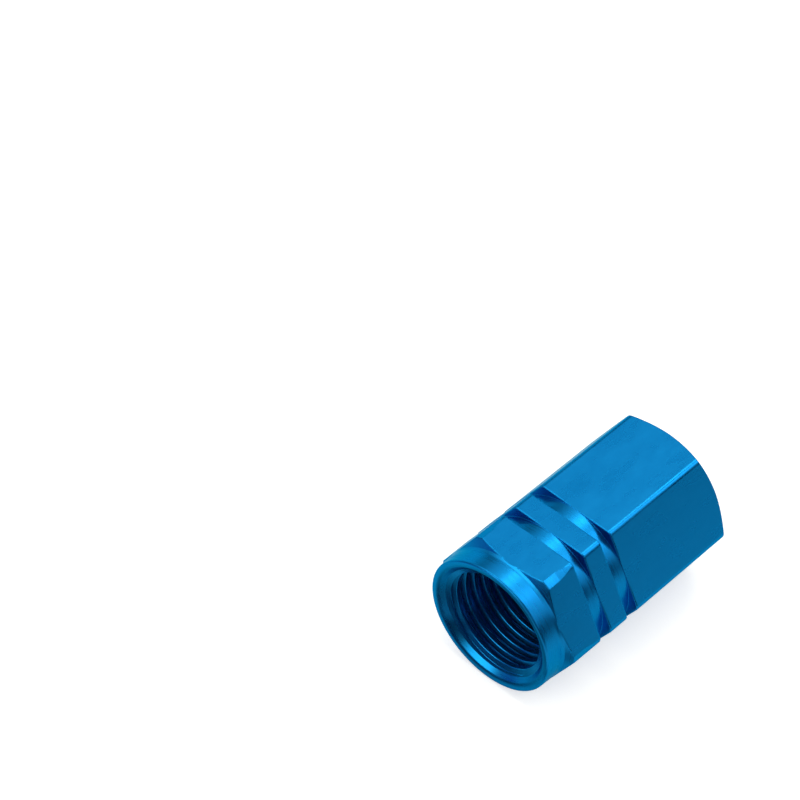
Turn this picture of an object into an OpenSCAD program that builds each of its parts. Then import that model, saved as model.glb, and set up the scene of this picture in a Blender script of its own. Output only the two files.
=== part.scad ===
/* [Hexagon bar] */
// Width of the bar across two opposite flats
flats_w = 9.525; // [9.3:0.025:12]
// Radius of the six long edges of the bar
edge_r = 0.4; // [0.1:0.05:0.8]
// Length of the cap from its mouth to its closed end
cap_len = 16.15; // [15:0.05:24]

/* [Collar and shoulder] */
// Length of the round collar from the mouth to the foot of the shoulder
collar_len = 1.33; // [0.8:0.01:1.8]
// Depth of the collar's foot below the flats
collar_relief = 0.03; // [0.01:0.01:0.1]
// Amount by which the collar's radius shrinks towards the mouth
collar_taper = 0.04; // [0.01:0.01:0.1]
// Radius of the collar's outer edge at the mouth
mouth_edge_r = 0.14; // [0.06:0.01:0.2]
// Length of the sloping shoulder, measured along the axis
shoulder_len = 0.37; // [0.1:0.01:0.6]
// Depth to which the corners behind the shoulder are turned down
corner_cut = 0.1; // [0.02:0.01:0.2]
// Length of the stretch where the corners are turned down by that depth
corner_cut_len = 1; // [0.6:0.05:1.3]
// Length of the slope on which the corners rise to their full height again
corner_rise_len = 1.1; // [0.6:0.05:1.2]

/* [Grooves] */
// Number of grooves round the bar
groove_count = 2; // [1:1:3]
// Distance from the mouth to the first groove
first_groove = 4.01; // [3.9:0.01:4.6]
// Distance from the start of one groove to the start of the next
groove_pitch = 2.44; // [1.6:0.01:3]
// Width of each groove
groove_w = 0.92; // [0.5:0.01:1.2]
// Depth of the groove's floor below the flats
groove_relief = 0.03; // [0.01:0.01:0.2]

/* [Closed end] */
// Angle between the end bevel and the end face
end_bevel_angle = 33; // [20:1:45]
// Amount by which the end face's radius is under that of the flats
end_relief = 0.02; // [0.01:0.01:0.3]

/* [Threaded bore] */
// Crest diameter of the inside thread, which is the plain wall of the bore
thread_minor_d = 6.9; // [6.6:0.05:7.1]
// Root diameter of the inside thread, where the countersink ends
thread_major_d = 7.75; // [7.5:0.05:7.9]
// Diameter of the countersink at the mouth
mouth_d = 8.53; // [8.2:0.01:8.8]
// Length of the threaded wall from the mouth to the seal
thread_len = 8.2; // [6:0.1:9]

/* [Seal] */
// Thickness of the sealing ring
seal_t = 1.4; // [0.8:0.1:2]
// Diameter of the hole in the sealing ring
seal_hole_d = 4.8; // [4:0.1:5.4]
// Width of the ledge that the seat cuts beyond the thread's root
seat_undercut = 0.12; // [0.05:0.01:0.25]
// Gap between the sealing ring and the walls of its seat
seal_gap = 0.05; // [0.02:0.01:0.1]
// Diameter of the pilot hole behind the seal
pilot_d = 4.8; // [4:0.1:5.4]
// Length of the straight part of the pilot hole
pilot_len = 1.2; // [0.6:0.1:2]
// Angle of the drill point at the end of the pilot hole
drill_angle = 118; // [90:1:140]

/* [Hidden] */
$fn = 96;
edge_fn = 48;
flats_n = 6;
flat_step = 360 / flats_n;
countersink_angle = 45;
// Angle between the lead into the thread and the cross-section
lead_angle = 30;
// Overlap of a cutting tool past the face that it cuts
past = 1;
// Radii of the bar
flats_r = flats_w / 2;
edge_centre_r = (flats_r - edge_r) / cos(flat_step / 2);
corner_r = edge_centre_r + edge_r;
clear_r = corner_r + past;
// Radii and stations of the turned outline
collar_foot_r = flats_r - collar_relief;
collar_mouth_r = collar_foot_r - collar_taper;
cut_r = corner_r - corner_cut;
shoulder_top = collar_len + shoulder_len;
cut_end = shoulder_top + corner_cut_len;
clear_start = cut_end + 2 * corner_rise_len;
groove_floor_r = flats_r - groove_relief;
end_face_r = flats_r - end_relief;
end_bevel_len = (clear_r - end_face_r) * tan(end_bevel_angle);
// Radii and stations of the bore
minor_r = thread_minor_d / 2;
major_r = thread_major_d / 2;
mouth_r = mouth_d / 2;
countersink_len = (mouth_r - major_r) * tan(countersink_angle);
wall_start = countersink_len + (major_r - minor_r) * tan(lead_angle);
seat_r = major_r + seat_undercut;
seat_end = thread_len + seal_t + seal_gap;
pilot_end = seat_end + pilot_len;
drill_len = pilot_d / 2 / tan(drill_angle / 2);

// Point at radius r in direction a of the bar's cross-section
function polar(r, a) = [r * cos(a), r * sin(a)];

// Cross-section of the bar: two flats face up and down and each corner is rounded
module bar_section() {
    corners = [for (k = [0 : flats_n - 1]) k * flat_step];
    polygon([
        for (a = corners, side = [-1, 1])
            polar(edge_centre_r, a) + polar(edge_r, a + side * flat_step / 2)
    ]);
    for (a = corners)
        translate(polar(edge_centre_r, a))
            circle(r = edge_r, $fn = edge_fn);
}

// Half outline of the turned shape: collar, shoulder, turned-down corners and end bevel
module turned_outline() {
    edge_centre = [collar_mouth_r - mouth_edge_r, mouth_edge_r];
    polygon([
        [0, 0],
        [edge_centre.x, 0],
        [collar_mouth_r, edge_centre.y],
        [collar_foot_r, collar_len],
        [cut_r, shoulder_top],
        [cut_r, cut_end],
        [corner_r + corner_cut, clear_start],
        [clear_r, clear_start],
        [clear_r, cap_len - end_bevel_len],
        [end_face_r, cap_len],
        [0, cap_len]
    ]);
    translate(edge_centre)
        circle(r = mouth_edge_r, $fn = edge_fn);
}

// Half outline of one groove, open to the outside
module groove_outline() {
    translate([groove_floor_r, 0])
        square([clear_r + past - groove_floor_r, groove_w]);
}

// Half outline of the bore: countersink, lead, threaded wall, seat of the seal, pilot hole
module bore_outline() {
    polygon([
        [0, -past],
        [mouth_r + past / tan(countersink_angle), -past],
        [major_r, countersink_len],
        [minor_r, wall_start],
        [minor_r, thread_len],
        [seat_r, thread_len],
        [seat_r, seat_end],
        [pilot_d / 2, seat_end],
        [pilot_d / 2, pilot_end],
        [0, pilot_end + drill_len]
    ]);
}

// Lays a shape that was turned round the vertical axis down on one flat
module lay_down() {
    translate([0, -cap_len / 2, flats_r])
        rotate([-90, 0, 0])
            children();
}

// Turned and grooved piece of hexagon bar with the threaded bore
module cap_body() {
    color([0.0, 0.42, 0.72])
        lay_down()
            difference() {
                intersection() {
                    linear_extrude(height = cap_len)
                        bar_section();
                    rotate_extrude()
                        turned_outline();
                }
                rotate_extrude()
                    for (k = [0 : groove_count - 1])
                        translate([0, first_groove + k * groove_pitch])
                            groove_outline();
                rotate_extrude()
                    bore_outline();
            }
}

// Flat rubber ring that lies on the floor of its seat
module seal_ring() {
    color([0.06, 0.06, 0.06])
        lay_down()
            translate([0, 0, seat_end - seal_t])
                difference() {
                    cylinder(h = seal_t, r = seat_r - seal_gap);
                    translate([0, 0, -past])
                        cylinder(h = seal_t + 2 * past, d = seal_hole_d);
                }
}

cap_body();
seal_ring();
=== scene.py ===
"""Looks of a small tyre valve cap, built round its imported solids.

The cap is turned from hexagon bar. It lies on one flat, with the threaded
mouth towards -Y and the closed end towards +Y. Sizes are in millimetres until
a mesh is finished, and a finished mesh is in metres.
"""

import logging
import math
from dataclasses import dataclass
from enum import IntEnum

import bmesh
import bpy
from bmesh.types import BMesh
from bpy.types import Material, Node, NodeSocket, Object, ShaderNodeTree
from mathutils import Matrix, Vector


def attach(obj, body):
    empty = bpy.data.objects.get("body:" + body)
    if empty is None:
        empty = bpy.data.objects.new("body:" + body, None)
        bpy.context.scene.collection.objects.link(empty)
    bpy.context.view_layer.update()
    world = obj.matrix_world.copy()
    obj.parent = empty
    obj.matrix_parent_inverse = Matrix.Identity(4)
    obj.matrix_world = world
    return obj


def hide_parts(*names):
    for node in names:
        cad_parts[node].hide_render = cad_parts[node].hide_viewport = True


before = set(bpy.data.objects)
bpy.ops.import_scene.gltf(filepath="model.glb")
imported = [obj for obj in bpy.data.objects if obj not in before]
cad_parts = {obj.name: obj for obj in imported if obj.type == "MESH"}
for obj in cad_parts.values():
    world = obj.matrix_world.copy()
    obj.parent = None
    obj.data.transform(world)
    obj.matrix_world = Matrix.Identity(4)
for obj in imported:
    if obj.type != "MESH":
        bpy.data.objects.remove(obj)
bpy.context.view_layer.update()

LOG = logging.getLogger("valve_cap")
MM = 0.001

# Shortest reach of a round along an edge, and the share of an edge that it may take
LEAST_REACH = 0.006
REACH_SHARE = 0.45

# Distance of the extra points beyond a round, and the share of that room they may take
SUPPORT = 0.035
SUPPORT_SHARE = 0.1

# Distance at which points are merged, and length that counts as none
MERGE_LENGTH = 1e-5
NO_LENGTH = 1e-6

# Colours of the studio
PALE = (1.0, 1.0, 1.0, 1.0)
WHITE = (1.0, 1.0, 1.0)
NAVY = (0.7, 0.55, 1.15)
WARM = (1.1, 1.07, 0.87)


class Finish(IntEnum):
    """Finishes of the cap's body, in the order of its materials."""

    DRAWN = 0
    TURNED = 1
    BORED = 2


@dataclass(frozen=True)
class Corner:
    """One corner of a half-section that is turned round the axis.

    Attributes:
        radius: Distance from the axis.
        station: Distance from the mouth, along the axis.
        ease: Radius of the small round on the corner.
        finish: Finish of the surface that follows the corner.
        cuts: Number of faces across the round.
    """

    radius: float
    station: float
    ease: float = 0.0
    finish: Finish = Finish.TURNED
    cuts: int = 3


def eased(before: Corner, here: Corner, after: Corner) -> list[Vector]:
    """Rounds one corner of a half-section.

    Args:
        before: The corner before it.
        here: The corner that is rounded.
        after: The corner after it.

    Returns:
        The points of the round, with one more close to it on each side.
    """
    middle = Vector((here.radius, here.station))
    back = Vector((before.radius, before.station)) - middle
    ahead = Vector((after.radius, after.station)) - middle
    half_turn = (math.pi - back.angle(ahead)) / 2
    room = REACH_SHARE * min(back.length, ahead.length)
    reach = min(max(here.ease * math.tan(half_turn), LEAST_REACH), room)
    start, end = middle + back.normalized() * reach, middle + ahead.normalized() * reach
    weight = math.cos(half_turn)
    beyond = min(SUPPORT, SUPPORT_SHARE * room)
    points = [start + back.normalized() * beyond]
    for step in range(here.cuts + 1):
        t = step / here.cuts
        a, b, c = (1 - t) ** 2, 2 * t * (1 - t) * weight, t * t
        points.append((start * a + middle * b + end * c) / (a + b + c))
    points.append(end + ahead.normalized() * beyond)
    return points


def eased_outline(corners: list[Corner], closed: bool = False) -> list[tuple[Vector, Finish]]:
    """Rounds every corner of a half-section.

    Args:
        corners: The corners in order.
        closed: True if the last corner is joined to the first.

    Returns:
        The points in order, each with the finish of what follows it.
    """
    count = len(corners)
    points = []
    for k, here in enumerate(corners):
        if not closed and k in (0, count - 1):
            points.append((Vector((here.radius, here.station)), here.finish))
            continue
        before, after = corners[k - 1], corners[(k + 1) % count]
        rounded = eased(before, here, after)
        split = len(rounded) // 2
        points += [(p, before.finish) for p in rounded[:split]]
        points += [(p, here.finish) for p in rounded[split:]]
    return points


@dataclass(frozen=True)
class Lathe:
    """Place of the cap's axis, and the way from a half-section to the row frame.

    Attributes:
        height: Height of the axis above the floor.
        length: Length of the cap, whose middle is at the origin.
    """

    height: float
    length: float

    def place(self, radius: float, station: float, angle: float = 0.0) -> Vector:
        """Gives the point at a radius, a station and an angle from +X towards +Z."""
        return Vector(
            (
                radius * math.cos(angle),
                station - self.length / 2,
                self.height + radius * math.sin(angle),
            )
        )

    def centre(self) -> Vector:
        """Gives the point of the axis at the mouth."""
        return self.place(0.0, 0.0)

    def draw(self, bm: BMesh, points: list[Vector], closed: bool) -> list:
        """Draws a half-section as a chain of edges in the plane of +X.

        Args:
            bm: The mesh that takes it.
            points: Radius and station of each point.
            closed: True if the last point is joined to the first.

        Returns:
            The new vertices and edges.
        """
        verts = [bm.verts.new(self.place(p.x, p.y)) for p in points]
        pairs = list(zip(verts, verts[1:])) + ([(verts[-1], verts[0])] if closed else [])
        return verts + [bm.edges.new(pair) for pair in pairs]

    def spin(self, bm: BMesh, geom: list, steps: int) -> None:
        """Turns a half-section once round the axis, and closes its seam and poles."""
        bmesh.ops.spin(
            bm,
            geom=geom,
            cent=self.centre(),
            axis=(0.0, 1.0, 0.0),
            dvec=(0.0, 0.0, 0.0),
            angle=math.tau,
            steps=steps,
            use_merge=True,
            use_duplicate=False,
        )
        bmesh.ops.remove_doubles(bm, verts=bm.verts[:], dist=MERGE_LENGTH)
        bmesh.ops.dissolve_degenerate(bm, edges=bm.edges[:], dist=NO_LENGTH)


def drafted(bm: BMesh, name: str, materials: list[Material]) -> Object:
    """Turns a drawn mesh into an object, still in millimetres.

    Args:
        bm: The drawn mesh, which is freed.
        name: Name of the object.
        materials: Its materials, in the order of the faces' material numbers.

    Returns:
        The object, at the origin.
    """
    for face in bm.faces:
        face.smooth = True
    mesh = bpy.data.meshes.new(name)
    bm.to_mesh(mesh)
    bm.free()
    for material in materials:
        mesh.materials.append(material)
    piece = bpy.data.objects.new(name, mesh)
    bpy.context.scene.collection.objects.link(piece)
    return piece


def finished(piece: Object, node: str, sharp: float = 40.0) -> Object:
    """Brings a drafted piece to metres, sets its shading and gives it its place in the frame.

    Args:
        piece: The drafted piece.
        node: The solid that it stands for.
        sharp: Angle in degrees from which an edge is shaded sharp.

    Returns:
        The piece.
    """
    piece.data.transform(Matrix.Scale(MM, 4))
    piece.data.set_sharp_from_angle(angle=math.radians(sharp))
    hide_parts(node)
    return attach(piece, "root")


@dataclass(frozen=True)
class HexBar:
    """The bar that the cap is turned from.

    Attributes:
        flats_width: Width across two opposite flats.
        edge_radius: Radius of the six long edges.
        length: Length of the finished cap.
    """

    flats_width: float = 9.525
    edge_radius: float = 0.4
    length: float = 16.15

    @property
    def flats_radius(self) -> float:
        """Distance from the axis to a flat."""
        return self.flats_width / 2

    @property
    def edge_centre(self) -> float:
        """Distance from the axis to the centre of a rounded edge."""
        return (self.flats_radius - self.edge_radius) / math.cos(math.pi / 6)

    @property
    def corner_radius(self) -> float:
        """Distance from the axis to the outside of a rounded edge."""
        return self.edge_centre + self.edge_radius

    def reach(self, angle: float) -> float:
        """Gives the distance from the axis to the bar's surface.

        Args:
            angle: Direction in the cross-section, from a corner, in radians.

        Returns:
            The distance in millimetres.
        """
        sector = math.pi / 3
        off = abs((angle + sector / 2) % sector - sector / 2)
        tangent = math.atan2(
            self.edge_radius * math.sin(sector / 2),
            self.edge_centre + self.edge_radius * math.cos(sector / 2),
        )
        if off < tangent:
            rise = self.edge_centre * math.sin(off)
            return self.edge_centre * math.cos(off) + math.sqrt(self.edge_radius**2 - rise**2)
        return self.flats_radius / math.cos(sector / 2 - off)

    def directions(self) -> list[float]:
        """Gives the directions of the sections in radians, close together at the corners."""
        half = (0.0, 0.36, 0.72, 1.08, 1.42, 1.76, 2.13, 2.5, 2.85, 3.03, 3.17, 3.31)
        half += (3.5, 4.1, 5.2, 6.9, 9.2, 12.0, 15.0, 18.0, 21.0, 24.0, 27.0)
        sector = [-a for a in reversed(half[1:])] + list(half) + [30.0]
        return [math.radians(60 * k + a) for k in range(6) for a in sector]


@dataclass(frozen=True)
class ThreadCut:
    """Right-hand inside thread, as the coil of metal that its tool takes away.

    Attributes:
        pitch: Distance from one turn to the next.
        crest_radius: Radius of the bore before the thread is cut.
        root_radius: Radius of the thread's bottom.
        root_flat: Width of the flat bottom.
        crest_ease: Radius of the round on the crest's edges.
        root_ease: Radius of the rounds at the bottom.
        flank_angle: Angle between a flank and the cross-section.
        start: Station at which the tool starts, in front of the mouth.
        end: Station at which it stops, in the seat of the seal.
        steps_a_turn: Number of sections in one turn.
        turn_gap: Half the gap between one turn of the coil and the next.
        backing: Depth of the coil behind the wall of the bore.
        skirt_depth: Depth at which the coil's skirt starts behind the wall.
        skirt_rise: Height of the skirt's corner above the wall.
        crest_cuts: Number of faces across the round on the crest.
    """

    pitch: float = 0.794
    crest_radius: float = 3.45
    root_radius: float = 3.78
    root_flat: float = 0.08
    crest_ease: float = 0.11
    root_ease: float = 0.08
    flank_angle: float = math.radians(30)
    start: float = -0.485
    end: float = 8.62
    steps_a_turn: int = 90
    turn_gap: float = 0.012
    backing: float = 0.1
    skirt_depth: float = 0.022
    skirt_rise: float = 0.004
    crest_cuts: int = 5

    def section(self) -> list[Vector]:
        """Gives the outline of the tool's tip as radius and place along the axis."""
        root, wall = self.root_flat / 2, self.crest_radius
        crest = root + (self.root_radius - wall) * math.tan(self.flank_angle)
        skirt = self.pitch / 2 - self.turn_gap
        side = [
            Corner(wall - self.backing, skirt),
            Corner(wall - self.skirt_depth, skirt),
            Corner(wall + self.skirt_rise, crest, self.crest_ease, cuts=self.crest_cuts),
            Corner(self.root_radius, root, self.root_ease),
        ]
        other = [Corner(c.radius, -c.station, c.ease, cuts=c.cuts) for c in reversed(side)]
        corners = side + other
        points = []
        for k, here in enumerate(corners):
            if here.ease:
                points += eased(corners[k - 1], here, corners[(k + 1) % len(corners)])
            else:
                points.append(Vector((here.radius, here.station)))
        return points

    def build(self, lathe: Lathe) -> BMesh:
        """Builds the coil.

        Args:
            lathe: Place of the axis.

        Returns:
            The coil as a closed mesh, in millimetres.
        """
        bm = bmesh.new()
        points = [p + Vector((0.0, self.start)) for p in self.section()]
        geom = lathe.draw(bm, points, closed=True)
        turns = (self.end - self.start) / self.pitch
        steps = round(turns * self.steps_a_turn)
        bmesh.ops.spin(
            bm,
            geom=geom,
            cent=lathe.centre(),
            axis=(0.0, 1.0, 0.0),
            dvec=(0.0, (self.end - self.start) / steps, 0.0),
            angle=math.tau * turns,
            steps=steps,
            use_merge=False,
            use_duplicate=False,
        )
        ends = [edge for edge in bm.edges if edge.is_boundary]
        bmesh.ops.holes_fill(bm, edges=ends, sides=0)
        bmesh.ops.recalc_face_normals(bm, faces=bm.faces[:])
        for face in bm.faces:
            face.material_index = Finish.BORED
        return bm


@dataclass(frozen=True)
class CapBody:
    """The cap itself, one piece of bar that is turned, grooved, bored and threaded.

    Stations are measured from the mouth.

    Attributes:
        bar: The bar that it is turned from.
        lathe: Place of the axis.
        thread: The inside thread.
        collar_length: Length of the collar.
        collar_relief: Depth of the collar's foot below the flats.
        collar_taper: Amount by which the collar shrinks towards the mouth.
        mouth_ease: Radius of the collar's outer edge.
        shoulder_length: Length of the shoulder up to the corners.
        shoulder_start: Distance from the collar's foot to the shoulder.
        corner_cut: Depth to which the corners are turned down.
        corner_cut_length: Length of the turned-down stretch.
        corner_rise_length: Length on which the corners rise again.
        grooves: Stations at which the grooves start.
        groove_width: Width of a groove.
        groove_relief: Depth of a groove's floor below the flats.
        end_bevel: Angle between the end bevel and the end face.
        end_relief: Amount by which the end face is under the flats' radius.
        mouth_radius: Radius of the countersink at the mouth.
        lip_ease: Radius of the lip round the mouth.
        lip_cuts: Number of faces across the lip's round, and across that of the collar.
        countersink_foot: Radius at which the countersink ends.
        countersink_ease: Radius of the round there.
        seat_radius: Radius of the seal's seat.
        thread_length: Station at which the seat starts.
        seat_end: Station of the seat's floor.
        pilot_radius: Radius of the pilot hole.
        pilot_end: Station at which its drill point starts.
        drill_half_angle: Half the angle of the drill point.
        lead_angle: Angle between the lead into the thread and the cross-section.
        lead_ease: Radius of the round where the lead meets the bore.
        edge_ease: Radius of the outer edges.
        inner_ease: Radius of the inner edges.
        flare_length: Length of the slight flare at the collar's foot.
        flare_rise: Height of the flare.
        flare_ease: Radius of the hollow where it starts.
        flare_edge: Radius of the edge where it ends.
        least_slope: Shortest shoulder, on the flats.
        least_rise: Shortest rise of the corners, on the flats.
    """

    bar: HexBar
    lathe: Lathe
    thread: ThreadCut = ThreadCut()
    collar_length: float = 1.33
    collar_relief: float = 0.03
    collar_taper: float = 0.04
    mouth_ease: float = 0.14
    shoulder_length: float = 0.37
    shoulder_start: float = 0.1
    corner_cut: float = 0.1
    corner_cut_length: float = 1.0
    corner_rise_length: float = 1.1
    grooves: tuple[float, ...] = (4.01, 6.45)
    groove_width: float = 0.92
    groove_relief: float = 0.03
    end_bevel: float = math.radians(33)
    end_relief: float = 0.02
    mouth_radius: float = 4.265
    lip_ease: float = 0.5
    lip_cuts: int = 6
    countersink_foot: float = 3.875
    countersink_ease: float = 0.15
    seat_radius: float = 3.995
    thread_length: float = 8.2
    seat_end: float = 9.65
    pilot_radius: float = 2.4
    pilot_end: float = 10.85
    drill_half_angle: float = math.radians(59)
    lead_angle: float = math.radians(30)
    lead_ease: float = 0.06
    edge_ease: float = 0.08
    inner_ease: float = 0.025
    flare_length: float = 0.22
    flare_rise: float = 0.055
    flare_ease: float = 0.5
    flare_edge: float = 0.02
    least_slope: float = 0.03
    least_rise: float = 0.06

    def corners(self, reach: float) -> list[Corner]:
        """Lists the half-section's corners where the bar has a given reach.

        Args:
            reach: Distance from the axis to the bar's surface.

        Returns:
            The corners, from the tip of the pilot hole to the middle of the closed end.
        """
        return self.bore_corners() + self.outer_corners(reach)

    def bore_corners(self) -> list[Corner]:
        """Lists the corners of the bore, from the tip of the pilot hole to the lip."""
        bored, inner = Finish.BORED, self.inner_ease
        wall, foot = self.thread.crest_radius, self.countersink_foot
        tip = self.pilot_end + self.pilot_radius / math.tan(self.drill_half_angle)
        entry = self.mouth_radius - foot
        wall_start = entry + (foot - wall) * math.tan(self.lead_angle)
        return [
            Corner(0.0, tip, 0, bored),
            Corner(self.pilot_radius, self.pilot_end, inner, bored),
            Corner(self.pilot_radius, self.seat_end, inner, bored),
            Corner(self.seat_radius, self.seat_end, inner, bored),
            Corner(self.seat_radius, self.thread_length, inner, bored),
            Corner(wall, self.thread_length, inner, bored),
            Corner(wall, wall_start, self.lead_ease, bored),
            Corner(foot, entry, self.countersink_ease),
            Corner(self.mouth_radius, 0.0, self.lip_ease, cuts=self.lip_cuts),
        ]

    def outer_corners(self, reach: float) -> list[Corner]:
        """Lists the corners outside, from the collar's edge to the middle of the closed end."""
        bar, ease, inner = self.bar, self.edge_ease, self.inner_ease
        foot = bar.flats_radius - self.collar_relief
        cut_radius = bar.corner_radius - self.corner_cut
        turned = min(reach, cut_radius)
        neck = Finish.TURNED if reach > cut_radius else Finish.DRAWN
        flared = min(foot + self.flare_rise, reach)
        flare_start = self.collar_length + self.shoulder_start - self.flare_length
        flare_end = flare_start + (flared - foot) / (self.flare_rise / self.flare_length)
        run = self.shoulder_length - self.shoulder_start
        slope = run / (cut_radius - foot - self.flare_rise)
        shoulder_end = flare_end + max((turned - flared) * slope, self.least_slope)
        cut_end = self.collar_length + self.shoulder_length + self.corner_cut_length
        rise = (reach - turned) * self.corner_rise_length / self.corner_cut
        listed = [
            Corner(foot - self.collar_taper, 0.0, self.mouth_ease, cuts=self.lip_cuts),
            Corner(foot, flare_start, self.flare_ease),
            Corner(flared, flare_end, self.flare_edge),
            Corner(turned, shoulder_end, ease, neck),
            Corner(turned, cut_end, ease, neck),
            Corner(reach, cut_end + max(rise, self.least_rise), ease, Finish.DRAWN),
        ]
        floor = bar.flats_radius - self.groove_relief
        for start in self.grooves:
            end = start + self.groove_width
            listed += [
                Corner(reach, start, ease),
                Corner(floor, start, inner),
                Corner(floor, end, inner),
                Corner(reach, end, ease, Finish.DRAWN),
            ]
        end_radius = bar.flats_radius - self.end_relief
        bevel = (reach - end_radius) * math.tan(self.end_bevel)
        return listed + [
            Corner(reach, bar.length - bevel, ease),
            Corner(end_radius, bar.length, ease),
            Corner(0.0, bar.length),
        ]

    def turn_and_mill(self) -> BMesh:
        """Spins the half-section, then brings every copy of it to the bar's reach there.

        Returns:
            The body without its thread, as a closed mesh in millimetres.
        """
        directions = self.bar.directions()
        outlines = [eased_outline(self.corners(self.bar.reach(a))) for a in directions]
        bm = bmesh.new()
        place = bm.verts.layers.int.new("place")
        geom = self.lathe.draw(bm, [p for p, _ in outlines[0]], closed=False)
        for k, vert in enumerate(v for v in geom if isinstance(v, bmesh.types.BMVert)):
            vert[place] = k
        self.lathe.spin(bm, geom, len(directions))
        step = math.tau / len(directions)
        for face in bm.faces:
            centre = face.calc_center_median()
            turn = math.atan2(centre.z - self.lathe.height, centre.x) % math.tau
            outline = outlines[int(turn / step)]
            face.material_index = outline[min(v[place] for v in face.verts)][1]
        for vert in bm.verts:
            radius = math.hypot(vert.co.x, vert.co.z - self.lathe.height)
            if radius < NO_LENGTH:
                continue
            turn = math.atan2(vert.co.z - self.lathe.height, vert.co.x)
            k = round(turn / step) % len(directions)
            point, _ = outlines[k][vert[place]]
            vert.co = self.lathe.place(point.x, point.y, directions[k])
        bmesh.ops.recalc_face_normals(bm, faces=bm.faces[:])
        return bm

    def build(self, materials: list[Material]) -> Object:
        """Builds the body and cuts its thread.

        Args:
            materials: One material for each Finish.

        Returns:
            The finished piece.
        """
        body = drafted(self.turn_and_mill(), "cap_shell", materials)
        tool = drafted(self.thread.build(self.lathe), "thread_tool", materials)
        cut = body.modifiers.new("thread", "BOOLEAN")
        cut.operation, cut.solver, cut.object = "DIFFERENCE", "MANIFOLD", tool
        graph = bpy.context.evaluated_depsgraph_get()
        mesh = bpy.data.meshes.new_from_object(body.evaluated_get(graph))
        body.modifiers.clear()
        body.data = mesh
        mesh.name = "cap_shell"
        bpy.data.objects.remove(tool)
        return finished(body, "cap_body")


@dataclass(frozen=True)
class SealRing:
    """Flat rubber ring on the floor of the bore, with a moulded rib round its face.

    Attributes:
        lathe: Place of the axis.
        outer_radius: Radius of its outside.
        hole_radius: Radius of its hole.
        front: Station of the rib's top.
        back: Station of the face that lies on the floor of the seat.
        ease: Radius of its edges.
        rib_ease: Radius of the rib's edges.
        rib_height: Height of the rib.
        rib_width: Half the width of the rib's foot.
        steps: Number of sections round the axis.
    """

    lathe: Lathe
    outer_radius: float = 3.945
    hole_radius: float = 2.4
    front: float = 8.25
    back: float = 9.65
    ease: float = 0.12
    rib_ease: float = 0.08
    rib_height: float = 0.06
    rib_width: float = 0.3
    steps: int = 120

    def build(self, material: Material) -> Object:
        """Builds the ring.

        Args:
            material: The rubber.

        Returns:
            The finished piece.
        """
        middle = (self.outer_radius + self.hole_radius) / 2
        face = self.front + self.rib_height
        corners = [
            Corner(self.hole_radius, self.back, self.ease),
            Corner(self.hole_radius, face, self.ease),
            Corner(middle - self.rib_width, face, self.rib_ease),
            Corner(middle - self.rib_width / 2, self.front, self.rib_ease),
            Corner(middle + self.rib_width / 2, self.front, self.rib_ease),
            Corner(middle + self.rib_width, face, self.rib_ease),
            Corner(self.outer_radius, face, self.ease),
            Corner(self.outer_radius, self.back, self.ease),
        ]
        bm = bmesh.new()
        outline = eased_outline(corners, closed=True)
        geom = self.lathe.draw(bm, [p for p, _ in outline], closed=True)
        self.lathe.spin(bm, geom, self.steps)
        bmesh.ops.recalc_face_normals(bm, faces=bm.faces[:])
        return finished(drafted(bm, "seal", [material]), "seal_ring")


class Wiring:
    """Adds nodes to one node tree and joins them."""

    def __init__(self, tree: ShaderNodeTree) -> None:
        """Keeps the tree.

        Args:
            tree: The tree that takes the nodes.
        """
        self.tree = tree

    def node(self, kind: str, inputs: dict | None = None, **settings: object) -> Node:
        """Adds one node.

        Args:
            kind: The node's type, without its ShaderNode prefix.
            inputs: Values or sockets for its inputs, by name or number.
            settings: Its other properties.

        Returns:
            The node.
        """
        made = self.tree.nodes.new("ShaderNode" + kind)
        for key, value in settings.items():
            setattr(made, key, value)
        for key, value in (inputs or {}).items():
            if isinstance(value, NodeSocket):
                self.tree.links.new(value, made.inputs[key])
            else:
                made.inputs[key].default_value = value
        return made

    def maths(self, operation: str, *values: object) -> NodeSocket:
        """Adds one Math node and gives its output."""
        return self.node("Math", dict(enumerate(values)), operation=operation).outputs[0]

    def remap(self, value: NodeSocket, source: tuple, target: tuple) -> NodeSocket:
        """Maps a value from one range to another, held at the ends, and gives the output."""
        ends = dict(enumerate((*source, *target), start=1))
        return self.node("MapRange", {0: value, **ends}).outputs[0]

    def blend(self, share: object, first: object, second: object) -> NodeSocket:
        """Mixes two colours and gives the output."""
        made = self.node("Mix", {0: share, 6: first, 7: second}, data_type="RGBA")
        return made.outputs[2]

    def joined(self, *parts: object) -> NodeSocket:
        """Joins three values into a vector and gives the output."""
        return self.node("CombineXYZ", dict(enumerate(parts))).outputs[0]

    def noise(self, vector: NodeSocket, scale: float, detail: float, rough: float) -> NodeSocket:
        """Adds a Noise Texture on a vector and gives its factor."""
        inputs = {"Vector": vector, "Scale": scale, "Detail": detail, "Roughness": rough}
        return self.node("TexNoise", inputs).outputs[0]


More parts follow.
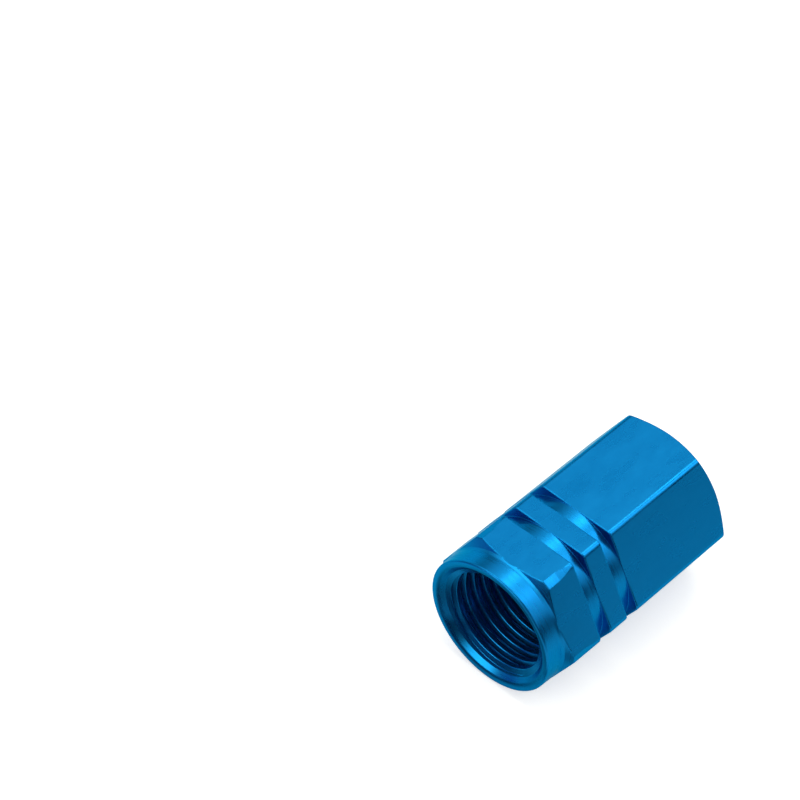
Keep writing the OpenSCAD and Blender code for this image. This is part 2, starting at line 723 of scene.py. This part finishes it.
class Effect:
    """A shader node group with named inputs and outputs, built once."""

    def __init__(
        self, name: str, inputs: dict[str, float | None], outputs: tuple[str, ...]
    ) -> None:
        """Makes the empty group.

        Args:
            name: Name of the group.
            inputs: Its inputs with their defaults; None makes a vector.
            outputs: Names of its value outputs.
        """
        number = "NodeSocketFloat"
        self.group = bpy.data.node_groups.new(name, "ShaderNodeTree")
        face = self.group.interface
        for label, value in inputs.items():
            kind = "NodeSocketVector" if value is None else number
            socket = face.new_socket(name=label, in_out="INPUT", socket_type=kind)
            if value is not None:
                socket.default_value = value
        for label in outputs:
            face.new_socket(name=label, in_out="OUTPUT", socket_type=number)
        self.wiring = Wiring(self.group)
        self.given = self.group.nodes.new("NodeGroupInput").outputs
        self.result = self.group.nodes.new("NodeGroupOutput").inputs

    def put(self, label: str, value: NodeSocket) -> None:
        """Joins a socket to one of the group's outputs."""
        self.group.links.new(value, self.result[label])

    def use(self, wiring: Wiring, inputs: dict) -> Node:
        """Places the group in a material.

        Args:
            wiring: The material's wiring.
            inputs: Values or sockets for the group's inputs.

        Returns:
            The group node.
        """
        made = wiring.tree.nodes.new("ShaderNodeGroup")
        made.node_tree = self.group
        for key, value in inputs.items():
            if isinstance(value, NodeSocket):
                wiring.tree.links.new(value, made.inputs[key])
            else:
                made.inputs[key].default_value = value
        return made


def turning_lines(height: float) -> Effect:
    """Builds the fine rings that a turning tool leaves, as a height and a mask of streaks.

    Args:
        height: Height of the axis above the floor, in metres.

    Returns:
        The effect. Its Density is the number of rings in a millimetre.
    """
    slant, coarse_share, axis_radius = 0.37, 0.31, 1e-5
    effect = Effect("turning_lines", {"Place": None, "Density": 14.0}, ("Height", "Streaks"))
    w, given = effect.wiring, effect.given
    axes = w.node("SeparateXYZ", {0: given["Place"]}).outputs
    across, up = axes[0], w.maths("SUBTRACT", axes[2], height)
    squares = [w.maths("POWER", part, 2.0) for part in (across, up)]
    radius = w.maths("SQRT", w.maths("ADD", *squares))
    safe = w.maths("MAXIMUM", radius, axis_radius)
    slanted = w.maths("ADD", axes[1], w.maths("MULTIPLY", radius, slant))
    ring = w.maths("MULTIPLY", w.maths("MULTIPLY", slanted, 1.0 / MM), given["Density"])
    around = [w.maths("DIVIDE", part, safe) for part in (across, up)]
    effect.put("Height", w.noise(w.joined(*around, ring), 1.0, 2.0, 0.6))
    coarse = w.joined(*around, w.maths("MULTIPLY", ring, coarse_share))
    effect.put("Streaks", w.remap(w.noise(coarse, 1.0, 3.0, 0.6), (0.3, 0.7), (0.0, 1.0)))
    return effect


def drawn_grain() -> Effect:
    """Builds the faint lengthwise grain of drawn bar, with the cloudiness of its dye."""
    cloud_stretch = 0.45
    inputs = {"Place": None, "Density": 9.0, "Stretch": 0.03}
    effect = Effect("drawn_grain", inputs, ("Height", "Cloud"))
    w, given = effect.wiring, effect.given
    axes = w.node("SeparateXYZ", {0: given["Place"]}).outputs
    scaled = [w.maths("MULTIPLY", part, 1.0 / MM) for part in axes[:3]]
    fine = [w.maths("MULTIPLY", part, given["Density"]) for part in scaled]
    fine[1] = w.maths("MULTIPLY", fine[1], given["Stretch"])
    effect.put("Height", w.noise(w.joined(*fine), 1.0, 3.0, 0.55))
    soft = w.joined(scaled[0], w.maths("MULTIPLY", scaled[1], cloud_stretch), scaled[2])
    effect.put("Cloud", w.remap(w.noise(soft, 0.9, 4.0, 0.6), (0.3, 0.7), (0.0, 1.0)))
    return effect


def specks() -> Effect:
    """Builds small sparse marks, as a mask."""
    effect = Effect("specks", {"Place": None, "Density": 3.0, "Amount": 0.05}, ("Mask",))
    w, given = effect.wiring, effect.given
    scaled = w.node("VectorMath", {0: given["Place"], "Scale": 1.0 / MM}, operation="SCALE")
    cells = {"Vector": scaled.outputs[0], "Scale": given["Density"], "Randomness": 1.0}
    spots = w.node("TexVoronoi", cells)
    size = w.node("SeparateColor", {0: spots.outputs["Color"]}).outputs[0]
    limit = w.maths("MULTIPLY", size, given["Amount"])
    effect.put("Mask", w.maths("LESS_THAN", spots.outputs["Distance"], limit))
    return effect


@dataclass(frozen=True)
class Effects:
    """The node groups that the finishes share.

    Attributes:
        rings: Turning rings.
        grain: Lengthwise grain and cloudiness.
        marks: Small marks.
    """

    rings: Effect
    grain: Effect
    marks: Effect


@dataclass(frozen=True)
class AnodisedAluminium:
    """Blue dyed, satin aluminium.

    Attributes:
        name: Name of the material.
        deep: Colour where the dye is thick.
        light: Colour where it is thin.
        smooth: Lowest roughness.
        rough: Highest roughness.
        edge_tint: Tint of the reflections at a low angle.
        ring_density: Turning rings in a millimetre; zero for drawn bar.
        relief: Depth of the rings or the grain, in metres.
        anisotropy: Stretch of the reflections across the rings.
        metallic: Share of bare metal; the rest is the matt dye over it.
        mark: Colour of the small marks.
        mark_share: Strength of the small marks.
        cloud_share: Share of the cloudiness in the dye's shade; the streaks have the rest.
    """

    name: str
    deep: tuple[float, float, float, float] = (0.004, 0.195, 0.51, 1.0)
    light: tuple[float, float, float, float] = (0.006, 0.215, 0.545, 1.0)
    smooth: float = 0.24
    rough: float = 0.34
    edge_tint: tuple[float, float, float, float] = (0.3, 0.86, 1.0, 1.0)
    ring_density: float = 0.0
    relief: float = 1.2e-6
    anisotropy: float = 0.0
    metallic: float = 0.99
    mark: tuple[float, float, float, float] = (0.0, 0.08, 0.3, 1.0)
    mark_share: float = 0.25
    cloud_share: float = 0.6

    def build(self, effects: Effects) -> Material:
        """Builds the material.

        Args:
            effects: The shared node groups.

        Returns:
            The material.
        """
        made = bpy.data.materials.new(self.name)
        made.use_nodes = True
        made.node_tree.nodes.clear()
        w = Wiring(made.node_tree)
        place = w.node("TexCoord").outputs["Object"]
        grain = effects.grain.use(w, {"Place": place, "Density": 9.0}).outputs
        if self.ring_density:
            rings = effects.rings.use(w, {"Place": place, "Density": self.ring_density}).outputs
            height, streaks = rings["Height"], rings["Streaks"]
        else:
            height, streaks = grain["Height"], grain["Cloud"]
        speck = effects.marks.use(w, {"Place": place}).outputs["Mask"]
        clouded = w.maths("MULTIPLY", grain["Cloud"], self.cloud_share)
        streaked = w.maths("MULTIPLY", streaks, 1.0 - self.cloud_share)
        colour = w.blend(w.maths("ADD", clouded, streaked), self.deep, self.light)
        marked = w.blend(w.maths("MULTIPLY", speck, self.mark_share), colour, self.mark)
        roughness = w.remap(streaks, (0.0, 1.0), (self.smooth, self.rough))
        bump = w.node("Bump", {"Strength": 1.0, "Distance": self.relief, "Height": height})
        inputs = {
            "Base Color": marked,
            "Metallic": self.metallic,
            "Specular Tint": self.edge_tint,
            "Roughness": roughness,
            "Normal": bump.outputs[0],
        }
        if self.anisotropy:
            inputs["Anisotropic"] = self.anisotropy
            inputs["Tangent"] = w.node("Tangent", direction_type="RADIAL", axis="Y").outputs[0]
        shader = w.node("BsdfPrincipled", inputs)
        w.node("OutputMaterial", {"Surface": shader.outputs[0]})
        return made


@dataclass(frozen=True)
class SealRubber:
    """Matt black rubber with a fine moulded texture and a little dust.

    Attributes:
        name: Name of the material.
        dark: Colour of clean rubber.
        dusty: Colour of dusty rubber.
        smooth: Lowest roughness.
        rough: Highest roughness.
        relief: Depth of the texture, in metres.
    """

    name: str = "seal_rubber"
    dark: tuple[float, float, float, float] = (0.012, 0.012, 0.013, 1.0)
    dusty: tuple[float, float, float, float] = (0.05, 0.05, 0.052, 1.0)
    smooth: float = 0.5
    rough: float = 0.75
    relief: float = 6e-6

    def build(self, effects: Effects) -> Material:
        """Builds the material.

        Args:
            effects: The shared node groups.

        Returns:
            The material.
        """
        made = bpy.data.materials.new(self.name)
        made.use_nodes = True
        made.node_tree.nodes.clear()
        w = Wiring(made.node_tree)
        place = w.node("TexCoord").outputs["Object"]
        grain = effects.grain.use(w, {"Place": place, "Density": 12.0, "Stretch": 1.0}).outputs
        specked = effects.marks.use(w, {"Place": place, "Density": 5.0, "Amount": 0.12})
        colour = w.blend(w.maths("MULTIPLY", grain["Cloud"], 0.5), self.dark, self.dusty)
        share = w.maths("MULTIPLY", specked.outputs["Mask"], 0.4)
        dusted = w.blend(share, colour, self.dusty)
        roughness = w.remap(grain["Cloud"], (0.0, 1.0), (self.smooth, self.rough))
        relief = {"Strength": 0.6, "Distance": self.relief, "Height": grain["Height"]}
        bump = w.node("Bump", relief)
        inputs = {"Base Color": dusted, "Roughness": roughness, "Normal": bump.outputs[0]}
        shader = w.node("BsdfPrincipled", {**inputs, "Specular IOR Level": 0.4})
        w.node("OutputMaterial", {"Surface": shader.outputs[0]})
        return made


def towards(azimuth: float, elevation: float) -> Vector:
    """Gives the unit vector to a place round the cap; azimuth 0 is on the mouth's side."""
    a, e = math.radians(azimuth), math.radians(elevation)
    return Vector((math.sin(a) * math.cos(e), -math.cos(a) * math.cos(e), math.sin(e)))


@dataclass(frozen=True)
class Panel:
    """A flat lamp or card that faces the cap.

    Attributes:
        name: Name of the object.
        azimuth: Its direction from the cap, in degrees.
        elevation: Its height above the horizon, in degrees.
        width: Its width in metres.
        height: Its height in metres.
        level: Radiance of a lamp, where 1 is white, or shade of a card.
        distance: Distance from the cap in metres.
        tint: Its colour, which the level multiplies.
    """

    name: str
    azimuth: float
    elevation: float
    width: float
    height: float
    level: float
    distance: float = 0.5
    tint: tuple[float, float, float] = WHITE

    def turned(self) -> Matrix:
        """Gives the panel's place and direction."""
        away = towards(self.azimuth, self.elevation)
        facing = away.to_track_quat("Z", "Y").to_matrix().to_4x4()
        return Matrix.Translation(away * self.distance) @ facing

    def lamp(self) -> None:
        """Builds the panel as a lamp that the camera doesn't see."""
        data = bpy.data.lights.new(self.name, "AREA")
        data.shape, data.size, data.size_y = "RECTANGLE", self.width, self.height
        data.energy = self.level * math.pi * self.width * self.height
        data.color = self.tint
        made = bpy.data.objects.new(self.name, data)
        made.matrix_world = self.turned()
        made.visible_camera = False
        bpy.context.scene.collection.objects.link(made)

    def card(self) -> None:
        """Builds the panel as a dull card that the camera doesn't see."""
        bm = bmesh.new()
        bmesh.ops.create_grid(bm, x_segments=1, y_segments=1, size=0.5)
        bmesh.ops.scale(bm, vec=(self.width, self.height, 1.0), verts=bm.verts[:])
        bmesh.ops.transform(bm, matrix=self.turned(), verts=bm.verts[:])
        mesh = bpy.data.meshes.new(self.name)
        bm.to_mesh(mesh)
        bm.free()
        material = bpy.data.materials.new(self.name)
        material.use_nodes = True
        material.node_tree.nodes.clear()
        w = Wiring(material.node_tree)
        shader = w.node("Emission", {"Color": (*self.tint, 1.0), "Strength": self.level})
        w.node("OutputMaterial", {"Surface": shader.outputs[0]})
        mesh.materials.append(material)
        made = bpy.data.objects.new(self.name, mesh)
        made.visible_camera = False
        made.visible_shadow = False
        made.visible_diffuse = False
        bpy.context.scene.collection.objects.link(made)


@dataclass(frozen=True)
class Studio:
    """Pale floor, white surroundings, soft lamps and dark cards.

    Attributes:
        floor_size: Length of the floor's sides, in metres.
        floor_shade: How much light the floor gives back.
        floor_lift: Light that the floor adds to the picture, so that it is near white.
        mirrored_share: Share of that light in reflections.
        ambient: Light of the surroundings.
        mirrored_world: Brightness of the surroundings in reflections.
        painted_shadow_centre: Middle of the painted shadow of the cap on the floor in front of
            the mouth, which only reflections show.
        painted_shadow_reach: Radii between which the painted shadow fades, in metres.
        painted_shadow_shade: Brightness of the painted shadow's middle.
    """

    floor_size: float = 2.0
    floor_shade: float = 0.8
    floor_lift: float = 0.55
    mirrored_share: float = 0.12
    ambient: float = 0.6
    mirrored_world: float = 0.96
    painted_shadow_centre: tuple[float, float, float] = (-0.001, -0.014, 0.0)
    painted_shadow_reach: tuple[float, float] = (0.003, 0.0055)
    painted_shadow_shade: float = 0.2

    def floor(self) -> None:
        """Builds the floor, which takes the cap's shadow and has a painted shadow for
        reflections.
        """
        bm = bmesh.new()
        bmesh.ops.create_grid(bm, x_segments=8, y_segments=8, size=self.floor_size / 2)
        material = bpy.data.materials.new("studio_floor")
        material.use_nodes = True
        material.node_tree.nodes.clear()
        w = Wiring(material.node_tree)
        path = w.node("LightPath").outputs
        mirrored = w.maths("ADD", path["Is Glossy Ray"], path["Is Transmission Ray"])
        place = w.node("TexCoord").outputs["Object"]
        # Painted shadow of the cap on the floor in front of the mouth: reflections see the floor
        # darker round that spot, while the camera sees the floor evenly.
        away = w.node("VectorMath", {0: place, 1: self.painted_shadow_centre}, operation="DISTANCE")
        dim = w.remap(away.outputs["Value"], self.painted_shadow_reach, (self.painted_shadow_shade, 1.0))
        share = w.maths("MULTIPLY", mirrored, w.maths("MULTIPLY", dim, self.mirrored_share))
        seen = w.maths("ADD", path["Is Camera Ray"], share)
        painted_shadow_depth = w.maths("MULTIPLY", mirrored, w.maths("SUBTRACT", 1.0, dim))
        shade = w.maths("MULTIPLY", w.maths("SUBTRACT", 1.0, painted_shadow_depth), self.floor_shade)
        grey = w.node("CombineColor", {0: shade, 1: shade, 2: shade}).outputs[0]
        matt = w.node("BsdfDiffuse", {"Color": grey})
        level = w.maths("MULTIPLY", seen, self.floor_lift)
        lift = w.node("Emission", {"Color": PALE, "Strength": level})
        both = w.node("AddShader", {0: matt.outputs[0], 1: lift.outputs[0]})
        w.node("OutputMaterial", {"Surface": both.outputs[0]})
        mesh = bpy.data.meshes.new("studio_floor")
        bm.to_mesh(mesh)
        bm.free()
        mesh.materials.append(material)
        made = bpy.data.objects.new("studio_floor", mesh)
        bpy.context.scene.collection.objects.link(made)

    def surroundings(self) -> None:
        """Makes the world white to the camera, near white to reflections, and dim as light."""
        world = bpy.data.worlds.new("studio")
        world.use_nodes = True
        world.node_tree.nodes.clear()
        w = Wiring(world.node_tree)
        path = w.node("LightPath").outputs
        mirrored = w.maths("ADD", path["Is Glossy Ray"], path["Is Transmission Ray"])
        mirror_level = w.remap(mirrored, (0.0, 1.0), (self.ambient, self.mirrored_world))
        level = w.maths("MAXIMUM", mirror_level, path["Is Camera Ray"])
        shader = w.node("Background", {"Color": PALE, "Strength": level})
        w.node("OutputWorld", {"Surface": shader.outputs[0]})
        bpy.context.scene.world = world

    def build(self) -> None:
        """Builds the whole studio."""
        self.floor()
        self.surroundings()
        for lamp in (
            Panel("softbox_over", 0.0, 90.0, 0.73, 0.1, 3.0, tint=WARM),
            Panel("softbox_top", 191.0, 57.0, 0.11, 0.22, 3.5, tint=WARM),
            Panel("softbox_back", 143.0, 48.0, 0.14, 0.24, 2.0),
            Panel("softbox_front", -10.0, 31.0, 0.4, 0.09, 3.4, tint=WARM),
        ):
            lamp.lamp()
        for card in (
            Panel("card_left", -127.0, 33.0, 0.5, 0.15, 0.12),
            Panel("card_left_front", -60.0, 15.0, 0.46, 0.34, 0.2),
            Panel("card_right", 122.0, 8.0, 0.5, 0.24, 0.05, tint=NAVY),
            Panel("card_camera", 41.0, 50.0, 0.6, 0.5, 0.1, tint=NAVY),
            Panel("card_near_left", -33.0, 4.0, 0.04, 0.018, 0.4, 0.035, tint=NAVY),
            Panel("card_near_right", 34.0, 6.0, 0.044, 0.022, 0.03, 0.034, tint=NAVY),
            # Painted shadow: these two small dark cards just in front of the mouth stand in for
            # the cap's shadow on the floor there, and only reflections show them.
            Panel("mouth_shadow_card", -7.9, 4.8, 0.0036, 0.0019, 0.06, 0.01165, tint=NAVY),
            Panel("mouth_shadow_card_right", 24.3, 6.1, 0.006, 0.0024, 0.05, 0.0113, tint=NAVY),
            Panel("card_far_right", 80.0, 10.0, 0.04, 0.026, 0.03, 0.04, tint=NAVY),
        ):
            card.card()


@dataclass(frozen=True)
class StudioCamera:
    """Camera with a long lens, above the mouth's right side.

    Attributes:
        aim: Point in the middle of the picture, in millimetres.
        azimuth: Direction of the camera from there, in degrees.
        elevation: Its height above the horizon, in degrees.
        roll: Turn about the line of sight, in degrees.
        distance: Distance from the aim, in millimetres.
        lens: Focal length in millimetres.
        sensor: Width of the sensor in millimetres.
        sight: Least and greatest distance that it sees, in metres.
    """

    aim: tuple[float, float, float] = (-12.7666, -2.5903, 10.9246)
    azimuth: float = 41.2627
    elevation: float = 46.4081
    roll: float = 2.7823
    distance: float = 184.073
    lens: float = 135.0
    sensor: float = 36.0
    sight: tuple[float, float] = (0.005, 20.0)

    def build(self) -> None:
        """Builds the camera and makes it the scene's own."""
        data = bpy.data.cameras.new("studio_camera")
        data.lens, data.sensor_width = self.lens, self.sensor
        data.clip_start, data.clip_end = self.sight
        made = bpy.data.objects.new("studio_camera", data)
        back = towards(self.azimuth, self.elevation)
        facing = back.to_track_quat("Z", "Y").to_matrix().to_4x4()
        spin = Matrix.Rotation(math.radians(self.roll), 4, "Z")
        place = (Vector(self.aim) + back * self.distance) * MM
        made.matrix_world = Matrix.Translation(place) @ facing @ spin
        bpy.context.scene.collection.objects.link(made)
        bpy.context.scene.camera = made


def report(piece: Object) -> None:
    """Logs a piece's size and whether its mesh is closed."""
    bm = bmesh.new()
    bm.from_mesh(piece.data)
    open_edges = sum(not e.is_manifold for e in bm.edges)
    LOG.info("%s: %d faces, %d open edges", piece.name, len(bm.faces), open_edges)
    bm.free()


def main() -> None:
    """Builds the studio and the cap."""
    logging.basicConfig(level=logging.INFO, format="%(message)s")
    bpy.context.scene.view_settings.view_transform = "Standard"
    StudioCamera().build()
    Studio().build()
    bar = HexBar()
    lathe = Lathe(bar.flats_radius, bar.length)
    effects = Effects(turning_lines(lathe.height * MM), drawn_grain(), specks())
    finishes = (
        AnodisedAluminium("anodised_drawn"),
        AnodisedAluminium("anodised_turned", ring_density=12.0, relief=2.5e-6, anisotropy=0.4),
        AnodisedAluminium(
            "anodised_bored",
            smooth=0.2,
            rough=0.3,
            ring_density=16.0,
            relief=1.5e-6,
            metallic=0.94,
        ),
    )
    metals = [finish.build(effects) for finish in finishes]
    report(CapBody(bar, lathe).build(metals))
    report(SealRing(lathe).build(SealRubber().build(effects)))


if __name__ == "__main__":
    main()
